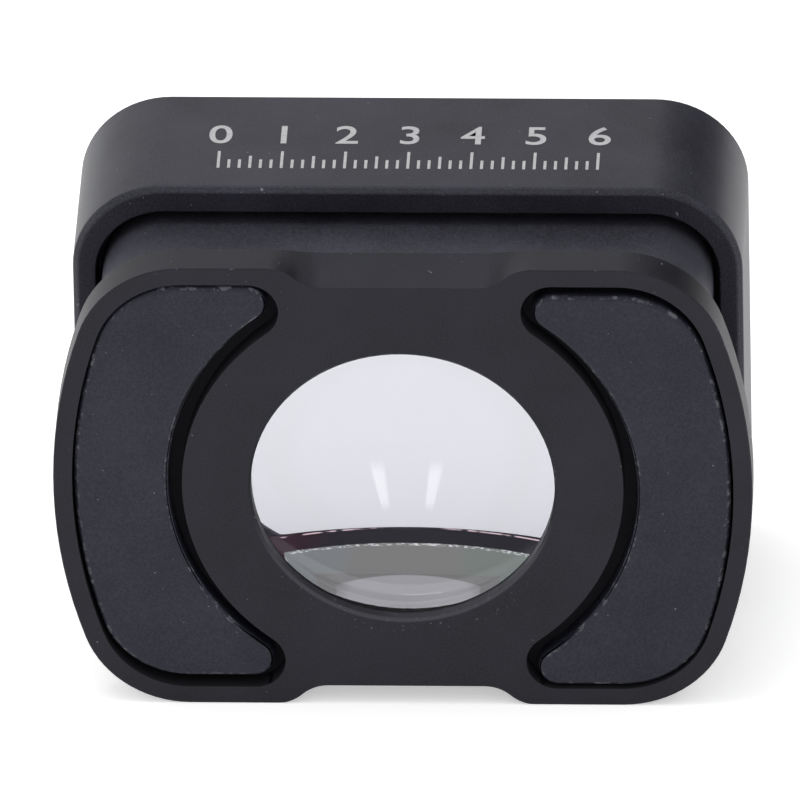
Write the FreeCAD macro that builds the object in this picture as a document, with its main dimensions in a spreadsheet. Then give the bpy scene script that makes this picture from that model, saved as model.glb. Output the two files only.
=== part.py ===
import FreeCAD, Part
import math
import os
import Sketcher

# Magnetic telephoto attachment lens for a pocket camera head.
# Frame: +X to the right seen from behind, +Y forward along the optical axis, +Z up.
# Origin: centre of the rear mounting face, which lies on the plane y = 0.

os.makedirs("parts", exist_ok=True)
doc = FreeCAD.newDocument("AttachmentLens")

# Driving dimensions in millimetres: alias, value, meaning.
SIZES = [
    ("plate_half_width", 16.55, "rear plate, half width at mid height"),
    ("plate_half_height", 11.85, "rear plate, half height at its flats"),
    ("plate_thickness", 1.9, "rear plate, thickness"),
    ("plate_side_radius", 26.0, "rear plate, radius of the bulging sides"),
    ("plate_corner_radius", 5.2, "rear plate, radius of the corners"),
    ("plate_edge_bevel", 0.05, "rear plate, bevel of the rear edge"),
    ("notch_half_width", 6.2, "finger notch, half width where it leaves the flat"),
    ("notch_floor_half_width", 3.7, "finger notch, half width of its flat floor"),
    ("notch_depth", 1.0, "finger notch, depth at the rear face"),
    ("notch_front_depth", 0.15, "finger notch, depth at the front of the plate"),
    ("aperture_cover", 1.73, "rear aperture, how far its lip covers the edge of the glass"),
    ("aperture_lip", 0.7, "rear aperture, thickness of the lip behind the glass"),
    ("aperture_bevel", 0.12, "rear aperture, bevel at the rear face"),
    ("pocket_inset", 0.9, "magnet pocket, rim left around it"),
    ("pocket_inner_radius", 10.45, "magnet pocket, radius of its inner wall"),
    ("pocket_tip_radius", 1.45, "magnet pocket, radius of its tips"),
    ("pocket_depth", 1.2, "magnet pocket, depth"),
    ("magnet_outer_gap", 0.08, "magnet, gap to the outer pocket wall"),
    ("magnet_end_gap", 0.3, "magnet, mean gap above and below"),
    ("magnet_inner_gap", 0.63, "magnet, gap to the inner pocket wall"),
    ("magnet_tip_radius", 1.0, "magnet, radius of its tips"),
    ("magnet_sink", 0.05, "magnet, depth of its face below the rear face"),
    ("magnet_edge_bevel", 0.2, "magnet, bevel of the rear edge"),
    ("magnet_shift", 0.2, "magnet, how far it sits off the middle of its pocket"),
    ("tape_thickness", 0.1, "adhesive sheets, thickness"),
    ("neck_side_wall", 1.9, "neck, wall beside the front glass"),
    ("neck_top_wall", 0.43, "neck, wall above and below the rear bore"),
    ("neck_corner_radius", 3.0, "neck, corner radius"),
    ("neck_front", 10.4, "neck, distance of its front end from the rear face"),
    ("element_bore_radius", 9.02, "neck and plate, radius of the bore for the rear element"),
    ("baffle_length", 1.5, "light baffle, length, which sets where the front glass begins"),
    ("baffle_wall", 0.2, "light baffle, wall"),
    ("fit_gap", 0.05, "running clearance of pieces that slide into each other"),
    ("hood_corner_radius", 4.4, "hood, corner radius"),
    ("hood_rear", 8.5, "hood, distance of its rim from the rear face"),
    ("hood_reach", 0.65, "hood, how far its front edge stands past the front glass"),
    ("hood_wall", 1.1, "hood, wall around the front chamber and at the rim's sides"),
    ("rim_wall_top", 1.3, "hood, wall of the rim above and below the neck"),
    ("rim_gap_side", 0.3, "hood rim, open gap beside the neck"),
    ("rim_gap_top", 0.65, "hood rim, open gap above and below the neck"),
    ("hood_edge_bevel", 0.25, "hood, bevel of its edges"),
    ("web_thickness", 1.0, "hood, cross wall between neck and front chamber"),
    ("front_glass_radius", 12.6, "front elements, radius"),
    ("front_flat_inset", 0.12, "front elements, how far their flats lie inside the rear bore"),
    ("crown_centre", 7.4, "front crown, thickness at the centre"),
    ("bond_radius", 19.0, "front doublet, radius of the cemented surface"),
    ("flint_centre", 2.6, "front flint, thickness at the centre"),
    ("flint_radius", 22.0, "front flint, radius of the outer surface"),
    ("rear_glass_clearance", 0.1, "rear element, clearance to its bore"),
    ("rear_centre", 3.0, "rear element, thickness at the centre"),
    ("rear_inner_curve", 30.0, "rear element, radius of the hollow towards the front"),
    ("rear_shoulder", 0.5, "rear element, width of the flat shoulder around its hollow"),
    ("gasket_thickness", 0.1, "gaskets, thickness"),
    ("ring_thickness", 0.4, "retaining ring, thickness"),
    ("ring_width", 0.3, "retaining ring, width from its inner to its outer wall"),
    ("ring_space", 0.1, "retaining ring, room left in the bore in front of it"),
    ("ring_slot_width", 1.0, "retaining ring, width of the spanner slots"),
    ("ring_slot_depth", 0.25, "retaining ring, depth of the spanner slots"),
    ("bezel_thickness", 0.8, "front bezel, thickness"),
    ("bezel_cover", 0.3, "front bezel window, how far it covers the round sides of the glass"),
    ("bezel_flat_gap", 1.0, "front bezel window, gap above and below the flats of the glass"),
    ("bezel_bevel", 0.2, "front bezel window, bevel"),
    ("clip_length", 1.91, "edge clips, length along the optical axis"),
    ("clip_end_gap", 0.08, "edge clips, how far they end before the flats of the glass"),
    ("screw_side_inset", 1.8, "screws, distance from the neck's sides"),
    ("screw_top_inset", 2.45, "screws, distance from the neck's top and bottom"),
    ("screw_radius", 0.6, "screws, shank radius"),
    ("screw_head_radius", 1.1, "screws, head radius"),
    ("screw_head_height", 0.45, "screws, head height"),
    ("screw_length", 3.4, "screws, shank length under the head"),
    ("screw_socket_radius", 0.5, "screws, radius of the socket"),
    ("screw_socket_depth", 0.3, "screws, depth of the socket"),
    ("screw_hole_gap", 0.05, "screws, clearance around shank and head"),
    ("pin_side_inset", 1.3, "locating pins, distance from the neck's sides"),
    ("pin_radius", 0.6, "locating pins, radius"),
    ("pin_length", 3.3, "locating pins, length"),
    ("pin_bevel", 0.15, "locating pins, bevel of the ends"),
]

sheet = doc.addObject("Spreadsheet::Sheet", "Sizes")
for row, (alias, value, meaning) in enumerate(SIZES, start=1):
    sheet.set("A%d" % row, meaning)
    sheet.set("B%d" % row, str(value))
    sheet.setAlias("B%d" % row, alias)
doc.recompute()


class Size:
    """A length known both as a number and as the sheet expression that gives it."""

    def __init__(self, number, text):
        self.number = number
        self.text = text

    def __add__(self, other):
        other = as_size(other)
        return Size(self.number + other.number, "(%s + %s)" % (self.text, other.text))

    def __sub__(self, other):
        other = as_size(other)
        return Size(self.number - other.number, "(%s - %s)" % (self.text, other.text))

    def __mul__(self, other):
        other = as_size(other)
        return Size(self.number * other.number, "(%s * %s)" % (self.text, other.text))

    def __neg__(self):
        return Size(-self.number, "(-1 * %s)" % self.text)


def as_size(value):
    """A plain number as a Size, and a Size as it is."""
    return value if isinstance(value, Size) else Size(float(value), repr(float(value)))


def root_of(square):
    """Square root of a Size."""
    return Size(math.sqrt(square.number), "sqrt(%s)" % square.text)


def half_chord(radius, distance):
    """Half of the chord that cuts a circle at this distance from its centre."""
    return root_of(radius * radius - distance * distance)


def sagitta(curve, reach):
    """Depth of an arc of radius curve at the distance reach from its axis."""
    return curve - half_chord(curve, reach)


SIZE = {alias: Size(float(value), "Sizes.%s" % alias) for alias, value, meaning in SIZES}


# Half height of the front glass between its flats.
GLASS_FLAT = SIZE["element_bore_radius"] - SIZE["front_flat_inset"]

# Outline of the neck, which goes round bore and front glass, and of the hood, which goes round
# the neck with an open gap.
NECK_HALF_WIDTH = SIZE["front_glass_radius"] + SIZE["neck_side_wall"]
NECK_HALF_HEIGHT = SIZE["element_bore_radius"] + SIZE["neck_top_wall"]
RIM_HALF_WIDTH = NECK_HALF_WIDTH + SIZE["rim_gap_side"]
RIM_HALF_HEIGHT = NECK_HALF_HEIGHT + SIZE["rim_gap_top"]
HOOD_HALF_WIDTH = RIM_HALF_WIDTH + SIZE["hood_wall"]
HOOD_HALF_HEIGHT = RIM_HALF_HEIGHT + SIZE["rim_wall_top"]

# Opening that the front glass slides through: light shaft, cross wall, gasket and cell.
SHAFT_RADIUS = SIZE["front_glass_radius"] + SIZE["fit_gap"]
SHAFT_FLAT = GLASS_FLAT + SIZE["fit_gap"]

# Window of the front bezel, which holds the glass at its round sides.
BEZEL_RADIUS = SIZE["front_glass_radius"] - SIZE["bezel_cover"]
BEZEL_FLAT = GLASS_FLAT + SIZE["bezel_flat_gap"]

# Where the round sides of the front glass pass into its flats, and where the edge clips end.
GLASS_CORNER = half_chord(SIZE["front_glass_radius"], GLASS_FLAT)
CLIP_HALF_GAP = GLASS_CORNER + SIZE["clip_end_gap"]

# Rear element and the pieces around it, from the bore inwards.
ELEMENT_EDGE = SIZE["element_bore_radius"] - SIZE["rear_glass_clearance"]
HOLLOW_REACH = ELEMENT_EDGE - SIZE["rear_shoulder"]
APERTURE_RADIUS = ELEMENT_EDGE - SIZE["aperture_cover"]
RING_EDGE = SIZE["element_bore_radius"] - SIZE["fit_gap"]
MAGNET_INNER_RADIUS = SIZE["pocket_inner_radius"] + SIZE["magnet_inner_gap"]

# Screws and locating pins, in from the outline of the neck.
SCREW_X = NECK_HALF_WIDTH - SIZE["screw_side_inset"]
SCREW_Z = NECK_HALF_HEIGHT - SIZE["screw_top_inset"]
PIN_X = NECK_HALF_WIDTH - SIZE["pin_side_inset"]

# Places along the optical axis that several pieces share.
ELEMENT_REAR = SIZE["aperture_lip"] + SIZE["gasket_thickness"]
HOLLOW_VERTEX = ELEMENT_REAR + SIZE["rear_centre"]
ELEMENT_FRONT = HOLLOW_VERTEX + sagitta(SIZE["rear_inner_curve"], HOLLOW_REACH)
RING_FRONT = ELEMENT_FRONT + SIZE["ring_thickness"]
BORE_END = RING_FRONT + SIZE["ring_space"]
CROWN_REAR = BORE_END + SIZE["baffle_length"]
BOND_VERTEX = CROWN_REAR + SIZE["crown_centre"]
FLINT_VERTEX = BOND_VERTEX + SIZE["flint_centre"]
HOOD_FRONT = FLINT_VERTEX + SIZE["hood_reach"]
WEB_FRONT = SIZE["neck_front"] + SIZE["web_thickness"]
CELL_REAR = WEB_FRONT + SIZE["gasket_thickness"]
CELL_MOUTH = FLINT_VERTEX - sagitta(SIZE["flint_radius"], SIZE["front_glass_radius"])
CLIP_REAR = FLINT_VERTEX - sagitta(SIZE["flint_radius"], BEZEL_RADIUS) + SIZE["fit_gap"]
BEZEL_REAR = CLIP_REAR + SIZE["clip_length"]
CELL_FRONT = BEZEL_REAR - SIZE["tape_thickness"]
MAGNET_FRONT = SIZE["pocket_depth"] - SIZE["tape_thickness"]

# How far a cutting sketch runs past the solid that it trims.
OVERSHOOT = 1.0

# How far an edge may stray from the plane or window that it is looked for in.
FLATNESS = 1e-4

# How a sketch refers to its own origin point and axes.
ORIGIN_POINT = (-1, 1)
SKETCH_AXIS = {"x": -1, "y": -2}


def new_body(label):
    """An empty body that may hold several separate solids of one kind."""
    body = doc.addObject("PartDesign::Body", label)
    body.Label = label
    body.AllowCompound = True
    return body


def origin_plane(body, role):
    """The body's own origin plane with the given role."""
    return [item for item in body.Origin.OriginFeatures if item.Role == role][0]


def face_sketch(body, name, distance=None):
    """A sketch across the optical axis, at a distance in front of the rear face."""
    sketch = body.newObject("Sketcher::SketchObject", name)
    sketch.AttachmentSupport = (origin_plane(body, "XZ_Plane"), [""])
    sketch.MapMode = "FlatFace"
    if distance is not None:
        sketch.setExpression("AttachmentOffset.Base.z", (-distance).text)
    return sketch


def axial_sketch(body, name):
    """A sketch whose X runs along the optical axis and whose Y is the radius."""
    sketch = body.newObject("Sketcher::SketchObject", name)
    sketch.AttachmentSupport = (origin_plane(body, "YZ_Plane"), [""])
    sketch.MapMode = "FlatFace"
    return sketch


def measure(sketch, kind, *where_and_size):
    """A driving constraint bound to the sheet."""
    *where, length = where_and_size
    length = as_size(length)
    index = sketch.addConstraint(Sketcher.Constraint(kind, *where, length.number))
    sketch.setExpression("Constraints[%d]" % index, length.text)


def place_point(sketch, geometry, point, x, y):
    """Hold one point of the geometry at (x, y); a None keeps it on that axis."""
    if x is None:
        sketch.addConstraint(Sketcher.Constraint("PointOnObject", geometry, point, SKETCH_AXIS["y"]))
    else:
        measure(sketch, "DistanceX", *ORIGIN_POINT, geometry, point, x)
    if y is None:
        sketch.addConstraint(Sketcher.Constraint("PointOnObject", geometry, point, SKETCH_AXIS["x"]))
    else:
        measure(sketch, "DistanceY", *ORIGIN_POINT, geometry, point, y)


def add_circle(sketch, radius, x=None, y=None):
    """A circle around (x, y)."""
    centre = FreeCAD.Vector(x.number if x else 0, y.number if y else 0, 0)
    index = sketch.addGeometry(Part.Circle(centre, FreeCAD.Vector(0, 0, 1), radius.number))
    measure(sketch, "Radius", index, radius)
    place_point(sketch, index, 3, x, y)
    return index


def four_circles(sketch, radius, x, y):
    """One circle in each quarter of the face."""
    for side in (1, -1):
        for level in (1, -1):
            add_circle(sketch, radius, x if side > 0 else -x, y if level > 0 else -y)


def add_line(sketch, start, end):
    return sketch.addGeometry(Part.LineSegment(FreeCAD.Vector(*start, 0), FreeCAD.Vector(*end, 0)))


def add_arc(sketch, centre, start, end):
    """Counter-clockwise arc around centre from start to end."""
    radius = math.dist(centre, start)
    angles = [math.atan2(p[1] - centre[1], p[0] - centre[0]) for p in (start, end)]
    circle = Part.Circle(FreeCAD.Vector(*centre, 0), FreeCAD.Vector(0, 0, 1), radius)
    if angles[1] <= angles[0]:
        angles[1] += 2 * math.pi
    return sketch.addGeometry(Part.ArcOfCircle(circle, *angles))


def join_smoothly(sketch, first, first_end, second, second_end):
    sketch.addConstraint(Sketcher.Constraint("Tangent", first, first_end, second, second_end))


def join(sketch, first, first_end, second, second_end):
    sketch.addConstraint(Sketcher.Constraint("Coincident", first, first_end, second, second_end))


def level_line(sketch, line, height):
    """Keep a line horizontal at the given height."""
    sketch.addConstraint(Sketcher.Constraint("Horizontal", line))
    measure(sketch, "DistanceY", *ORIGIN_POINT, line, 1, height)


def upright_line(sketch, line, place):
    """Keep a line vertical at the given place."""
    sketch.addConstraint(Sketcher.Constraint("Vertical", line))
    measure(sketch, "DistanceX", *ORIGIN_POINT, line, 1, place)


def rounded_rectangle(sketch, half_x, half_y, radius):
    """A rectangle about the axis with four equal round corners, counter-clockwise."""
    hx, hy, r = half_x.number, half_y.number, radius.number
    right = add_line(sketch, (hx, r - hy), (hx, hy - r))
    top = add_line(sketch, (hx - r, hy), (r - hx, hy))
    left = add_line(sketch, (-hx, hy - r), (-hx, r - hy))
    bottom = add_line(sketch, (r - hx, -hy), (hx - r, -hy))
    corners = [
        add_arc(sketch, (hx - r, hy - r), (hx, hy - r), (hx - r, hy)),
        add_arc(sketch, (r - hx, hy - r), (r - hx, hy), (-hx, hy - r)),
        add_arc(sketch, (r - hx, r - hy), (-hx, r - hy), (r - hx, -hy)),
        add_arc(sketch, (hx - r, r - hy), (hx - r, -hy), (hx, r - hy)),
    ]
    sides = [right, top, left, bottom]
    for place, corner in enumerate(corners):
        join_smoothly(sketch, sides[place], 2, corner, 1)
        join_smoothly(sketch, corner, 2, sides[(place + 1) % 4], 1)
        measure(sketch, "Radius", corner, radius)
    measure(sketch, "DistanceX", *ORIGIN_POINT, right, 1, half_x)
    measure(sketch, "DistanceX", *ORIGIN_POINT, left, 1, -half_x)
    measure(sketch, "DistanceY", *ORIGIN_POINT, top, 1, half_y)
    measure(sketch, "DistanceY", *ORIGIN_POINT, bottom, 1, -half_y)


def rectangle(sketch, left_x, right_x, low_y, high_y):
    """A plain rectangle between two upright and two level lines."""
    left, right, low, high = left_x.number, right_x.number, low_y.number, high_y.number
    corners = [(left, low), (right, low), (right, high), (left, high)]
    lines = [add_line(sketch, corners[place], corners[(place + 1) % 4]) for place in range(4)]
    for place, item in enumerate(lines):
        join(sketch, item, 2, lines[(place + 1) % 4], 1)
    level_line(sketch, lines[0], low_y)
    upright_line(sketch, lines[1], right_x)
    level_line(sketch, lines[2], high_y)
    upright_line(sketch, lines[3], left_x)


def flatted_circle(sketch, radius, flat):
    """A circle about the axis with its top and bottom cut off level."""
    r, f = radius.number, flat.number
    reach = math.sqrt(r * r - f * f)
    right = add_arc(sketch, (0, 0), (reach, -f), (reach, f))
    top = add_line(sketch, (reach, f), (-reach, f))
    left = add_arc(sketch, (0, 0), (-reach, f), (-reach, -f))
    bottom = add_line(sketch, (-reach, -f), (reach, -f))
    loop = [right, top, left, bottom]
    for place, item in enumerate(loop):
        join(sketch, item, 2, loop[(place + 1) % 4], 1)
    for arc in (right, left):
        sketch.addConstraint(Sketcher.Constraint("Coincident", arc, 3, *ORIGIN_POINT))
        measure(sketch, "Radius", arc, radius)
    level_line(sketch, top, flat)
    level_line(sketch, bottom, -flat)


def corner_centre(half_y, side_centre, side_radius, corner_radius):
    """Centre of the corner arc that meets a level line and the bulging side smoothly."""
    z = half_y - corner_radius
    return side_centre + math.sqrt((side_radius - corner_radius) ** 2 - z * z), z


def meeting_point(side_centre, side_radius, corner):
    """Point where the side arc passes into the corner arc."""
    dx, dz = corner[0] - side_centre, corner[1]
    scale = side_radius / math.hypot(dx, dz)
    return side_centre + dx * scale, dz * scale


def plate_outline(sketch):
    """Rear plate: two bulging sides, four corners, level top and bottom."""
    side_shift = SIZE["plate_half_width"] - SIZE["plate_side_radius"]
    side_centre, side_radius = side_shift.number, SIZE["plate_side_radius"].number
    half_y, r = SIZE["plate_half_height"].number, SIZE["plate_corner_radius"].number
    corner = corner_centre(half_y, side_centre, side_radius, r)
    meet = meeting_point(side_centre, side_radius, corner)
    cx, cz = corner
    right = add_arc(sketch, (side_centre, 0), (meet[0], -meet[1]), meet)
    top_right = add_arc(sketch, corner, meet, (cx, half_y))
    top = add_line(sketch, (cx, half_y), (-cx, half_y))
    top_left = add_arc(sketch, (-cx, cz), (-cx, half_y), (-meet[0], meet[1]))
    left = add_arc(sketch, (-side_centre, 0), (-meet[0], meet[1]), (-meet[0], -meet[1]))
    low_left = add_arc(sketch, (-cx, -cz), (-meet[0], -meet[1]), (-cx, -half_y))
    bottom = add_line(sketch, (-cx, -half_y), (cx, -half_y))
    low_right = add_arc(sketch, (cx, -cz), (cx, -half_y), (meet[0], -meet[1]))
    loop = [right, top_right, top, top_left, left, low_left, bottom, low_right]
    for place, item in enumerate(loop):
        join_smoothly(sketch, item, 2, loop[(place + 1) % len(loop)], 1)
    for side, shift in ((right, side_shift), (left, -side_shift)):
        measure(sketch, "Radius", side, SIZE["plate_side_radius"])
        place_point(sketch, side, 3, shift, None)
    for item in (top_right, top_left, low_left, low_right):
        measure(sketch, "Radius", item, SIZE["plate_corner_radius"])
    level_line(sketch, top, SIZE["plate_half_height"])
    level_line(sketch, bottom, -SIZE["plate_half_height"])


def crescent(sketch, side, half_y, outer_inset, inner_radius, tip_radius):
    """A crescent between the plate's outline and the aperture, right (1) or left (-1).

    Its outer edge runs parallel to the plate's side, its inner edge is an arc about the
    optical axis, and a small arc closes each tip under a level line.
    """
    side_shift = SIZE["plate_half_width"] - SIZE["plate_side_radius"]
    side_radius = SIZE["plate_side_radius"] - outer_inset
    corner_radius = SIZE["plate_corner_radius"] - outer_inset
    centre_x = side_shift.number
    corner = corner_centre(half_y.number, centre_x, side_radius.number, corner_radius.number)
    meet = meeting_point(centre_x, side_radius.number, corner)
    tip_z = half_y.number - tip_radius.number
    tip_reach = inner_radius.number + tip_radius.number
    tip = (math.sqrt(tip_reach ** 2 - tip_z ** 2), tip_z)
    touch = tuple(value * inner_radius.number / tip_reach for value in tip)

    def arc(centre, start, end):
        """Arc of the right-hand crescent, mirrored for the left-hand one."""
        if side > 0:
            return add_arc(sketch, centre, start, end), 1, 2
        mirrored = [(-x, z) for x, z in (centre, end, start)]
        return add_arc(sketch, *mirrored), 2, 1

    def line(start, end):
        return add_line(sketch, (side * start[0], start[1]), (side * end[0], end[1])), 1, 2

    outer = arc((centre_x, 0), (meet[0], -meet[1]), meet)
    high_corner = arc(corner, meet, (corner[0], half_y.number))
    top = line((corner[0], half_y.number), (tip[0], half_y.number))
    high_tip = arc(tip, (tip[0], half_y.number), touch)
    inner_index = add_arc(sketch, (0, 0), *(
        ((touch[0], -touch[1]), touch) if side > 0 else ((-touch[0], touch[1]), (-touch[0], -touch[1]))
    ))
    inner = (inner_index, 2, 1) if side > 0 else (inner_index, 1, 2)
    low_tip = arc((tip[0], -tip[1]), (touch[0], -touch[1]), (tip[0], -half_y.number))
    bottom = line((tip[0], -half_y.number), (corner[0], -half_y.number))
    low_corner = arc((corner[0], -corner[1]), (corner[0], -half_y.number), (meet[0], -meet[1]))
    loop = [outer, high_corner, top, high_tip, inner, low_tip, bottom, low_corner]
    for place, item in enumerate(loop):
        following = loop[(place + 1) % len(loop)]
        join_smoothly(sketch, item[0], item[2], following[0], following[1])
    measure(sketch, "Radius", outer[0], side_radius)
    place_point(sketch, outer[0], 3, side_shift if side > 0 else -side_shift, None)
    for item in (high_corner, low_corner):
        measure(sketch, "Radius", item[0], corner_radius)
    for item in (high_tip, low_tip):
        measure(sketch, "Radius", item[0], tip_radius)
    sketch.addConstraint(Sketcher.Constraint("Coincident", inner[0], 3, *ORIGIN_POINT))
    measure(sketch, "Radius", inner[0], inner_radius)
    level_line(sketch, top[0], half_y)
    level_line(sketch, bottom[0], -half_y)


def notch_outline(sketch, depth, overshoot):
    """Section of the finger notch: a level floor that rises by an S curve on each side."""
    top = SIZE["plate_half_height"].number
    floor = top - depth.number
    outer = SIZE["notch_half_width"].number
    inner = SIZE["notch_floor_half_width"].number
    run, rise = outer - inner, depth.number
    bend = (run * run + rise * rise) / (4 * rise)
    middle = ((outer + inner) / 2, top - rise / 2)
    lid = top + overshoot.number
    base = add_line(sketch, (-inner, floor), (inner, floor))
    low_right = add_arc(sketch, (inner, floor + bend), (inner, floor), middle)
    high_right = add_arc(sketch, (outer, top - bend), (outer, top), middle)
    right = add_line(sketch, (outer, top), (outer, lid))
    cover = add_line(sketch, (outer, lid), (-outer, lid))
    left = add_line(sketch, (-outer, lid), (-outer, top))
    high_left = add_arc(sketch, (-outer, top - bend), (-middle[0], middle[1]), (-outer, top))
    low_left = add_arc(sketch, (-inner, floor + bend), (-middle[0], middle[1]), (-inner, floor))
    join_smoothly(sketch, base, 2, low_right, 1)
    join_smoothly(sketch, low_right, 2, high_right, 2)
    join(sketch, high_right, 1, right, 1)
    join(sketch, right, 2, cover, 1)
    join(sketch, cover, 2, left, 1)
    join(sketch, left, 2, high_left, 2)
    join_smoothly(sketch, high_left, 1, low_left, 1)
    join_smoothly(sketch, low_left, 2, base, 1)
    level_line(sketch, base, SIZE["plate_half_height"] - depth)
    level_line(sketch, cover, SIZE["plate_half_height"] + overshoot)
    upright_line(sketch, right, SIZE["notch_half_width"])
    upright_line(sketch, left, -SIZE["notch_half_width"])
    measure(sketch, "DistanceY", *ORIGIN_POINT, right, 1, SIZE["plate_half_height"])
    measure(sketch, "DistanceY", *ORIGIN_POINT, left, 2, SIZE["plate_half_height"])
    measure(sketch, "DistanceX", *ORIGIN_POINT, base, 2, SIZE["notch_floor_half_width"])
    measure(sketch, "DistanceX", *ORIGIN_POINT, base, 1, -SIZE["notch_floor_half_width"])
    for bend_arc in (high_right, high_left, low_left):
        sketch.addConstraint(Sketcher.Constraint("Equal", bend_arc, low_right))


def pad(body, sketch, length):
    """Material from the sketch forward along the optical axis."""
    feature = body.newObject("PartDesign::Pad", sketch.Name + "Pad")
    feature.Profile = sketch
    feature.Reversed = True
    feature.setExpression("Length", as_size(length).text)
    finish(feature)
    return feature


def cut(body, sketch, length):
    """Hole from the sketch forward along the optical axis, checked to remove material."""
    before = body.Shape.Volume
    feature = body.newObject("PartDesign::Pocket", sketch.Name + "Pocket")
    feature.Profile = sketch
    feature.setExpression("Length", as_size(length).text)
    finish(feature)
    if body.Shape.Volume >= before:
        raise ValueError("%s removed nothing" % feature.Name)
    return feature


def revolve(body, sketch):
    """Full turn of an axial sketch about the optical axis."""
    feature = body.newObject("PartDesign::Revolution", sketch.Name + "Turn")
    feature.Profile = sketch
    feature.ReferenceAxis = (sketch, ["H_Axis"])
    feature.Angle = 360
    finish(feature)
    return feature


def mirror(body, original, role):
    """Mirror image of one feature across a plane of the body."""
    feature = body.newObject("PartDesign::Mirrored", original.Name + "Mirror")
    feature.Originals = [original]
    feature.MirrorPlane = (origin_plane(body, role), [""])
    body.Tip = feature
    finish(feature)
    return feature


def has_failed(feature):
    """True where a feature has failed."""
    return any(word in feature.State for word in ("Invalid", "Error"))


def finish(feature):
    """Recompute, and stop at once where the new feature has failed."""
    doc.recompute()
    if has_failed(feature):
        raise ValueError("%s failed: %s" % (feature.Name, feature.State))


def edges_on(shape, distance, chosen=None):
    """Names of the edges that lie in the plane at this distance from the rear face."""
    names = []
    for number, edge in enumerate(shape.Edges, start=1):
        box = edge.BoundBox
        if abs(box.YMin - distance.number) > FLATNESS or abs(box.YMax - distance.number) > FLATNESS:
            continue
        if chosen is None or chosen(edge):
            names.append("Edge%d" % number)
    return names


def inside_window(radius, flat):
    """A test for edges that reach no further from the axis than a flatted window."""
    def chosen(edge):
        box = edge.BoundBox
        reach_x = max(abs(box.XMin), abs(box.XMax))
        reach_z = max(abs(box.ZMin), abs(box.ZMax))
        return reach_x < radius.number + FLATNESS and reach_z < flat.number + FLATNESS
    return chosen


def bevel(body, size, edge_names):
    """Chamfer of the named edges."""
    base = body.Tip
    feature = body.newObject("PartDesign::Chamfer", body.Name + "Bevel" + str(len(body.Group)))
    feature.Base = (base, edge_names)
    feature.setExpression("Size", size.text)
    body.Tip = feature
    finish(feature)
    return feature


# Rear plate, with its finger notches, aperture, magnet pockets and holes.
def make_rear_plate():
    body = new_body("rear_plate")
    outline = face_sketch(body, "PlateOutline")
    plate_outline(outline)
    pad(body, outline, SIZE["plate_thickness"])
    bevel(body, SIZE["plate_edge_bevel"], edges_on(body.Shape, as_size(0)))

    notch_rear = face_sketch(body, "NotchRear")
    notch_outline(notch_rear, SIZE["notch_depth"], SIZE["notch_depth"])
    notch_front = face_sketch(body, "NotchFront", SIZE["plate_thickness"])
    notch_outline(notch_front, SIZE["notch_front_depth"], SIZE["notch_depth"])
    before = body.Shape.Volume
    notch = body.newObject("PartDesign::SubtractiveLoft", "Notch")
    notch.Profile = notch_rear
    notch.Sections = [notch_front]
    notch.Ruled = True
    finish(notch)
    mirror(body, notch, "XY_Plane")
    if body.Shape.Volume >= before:
        raise ValueError("the notches removed nothing")

    lip = face_sketch(body, "Aperture")
    add_circle(lip, APERTURE_RADIUS)
    cut(body, lip, SIZE["plate_thickness"])
    mouth = inside_window(APERTURE_RADIUS, APERTURE_RADIUS)
    bevel(body, SIZE["aperture_bevel"], edges_on(body.Shape, as_size(0), mouth))
    seat = face_sketch(body, "ElementSeat", SIZE["aperture_lip"])
    add_circle(seat, SIZE["element_bore_radius"])
    cut(body, seat, SIZE["plate_thickness"] - SIZE["aperture_lip"])

    inset = SIZE["pocket_inset"]
    pocket_half = SIZE["plate_half_height"] - inset
    pocket_sketch = face_sketch(body, "MagnetPocket")
    crescent(pocket_sketch, 1, pocket_half, inset, SIZE["pocket_inner_radius"], SIZE["pocket_tip_radius"])
    mirror(body, cut(body, pocket_sketch, SIZE["pocket_depth"]), "YZ_Plane")

    heads = face_sketch(body, "HeadHoles", SIZE["pocket_depth"])
    four_circles(heads, SIZE["screw_head_radius"] + SIZE["screw_hole_gap"], SCREW_X, SCREW_Z)
    cut(body, heads, SIZE["screw_head_height"])
    shanks = face_sketch(body, "ShankHoles", SIZE["pocket_depth"])
    four_circles(shanks, SIZE["screw_radius"] + SIZE["screw_hole_gap"], SCREW_X, SCREW_Z)
    cut(body, shanks, SIZE["plate_thickness"] - SIZE["pocket_depth"])
    pins = face_sketch(body, "PinHoles", SIZE["pocket_depth"])
    add_circle(pins, SIZE["pin_radius"] + SIZE["screw_hole_gap"], PIN_X)
    add_circle(pins, SIZE["pin_radius"] + SIZE["screw_hole_gap"], -PIN_X)
    cut(body, pins, SIZE["plate_thickness"] - SIZE["pocket_depth"])
    return body


# Magnets and the adhesive sheets under them, each pair a little off the middle.
def make_magnet(label, side):
    body = new_body(label)
    sketch = face_sketch(body, label.title().replace("_", ""), SIZE["magnet_sink"])
    half = SIZE["plate_half_height"] - SIZE["pocket_inset"] - SIZE["magnet_end_gap"]
    inset = SIZE["pocket_inset"] + SIZE["magnet_outer_gap"]
    crescent(sketch, side, half, inset, MAGNET_INNER_RADIUS, SIZE["magnet_tip_radius"])
    pad(body, sketch, MAGNET_FRONT - SIZE["magnet_sink"])
    bevel(body, SIZE["magnet_edge_bevel"], edges_on(body.Shape, SIZE["magnet_sink"]))
    shift = SIZE["magnet_shift"] if side < 0 else -SIZE["magnet_shift"]
    body.setExpression("Placement.Base.z", shift.text)
    doc.recompute()
    return body


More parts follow.
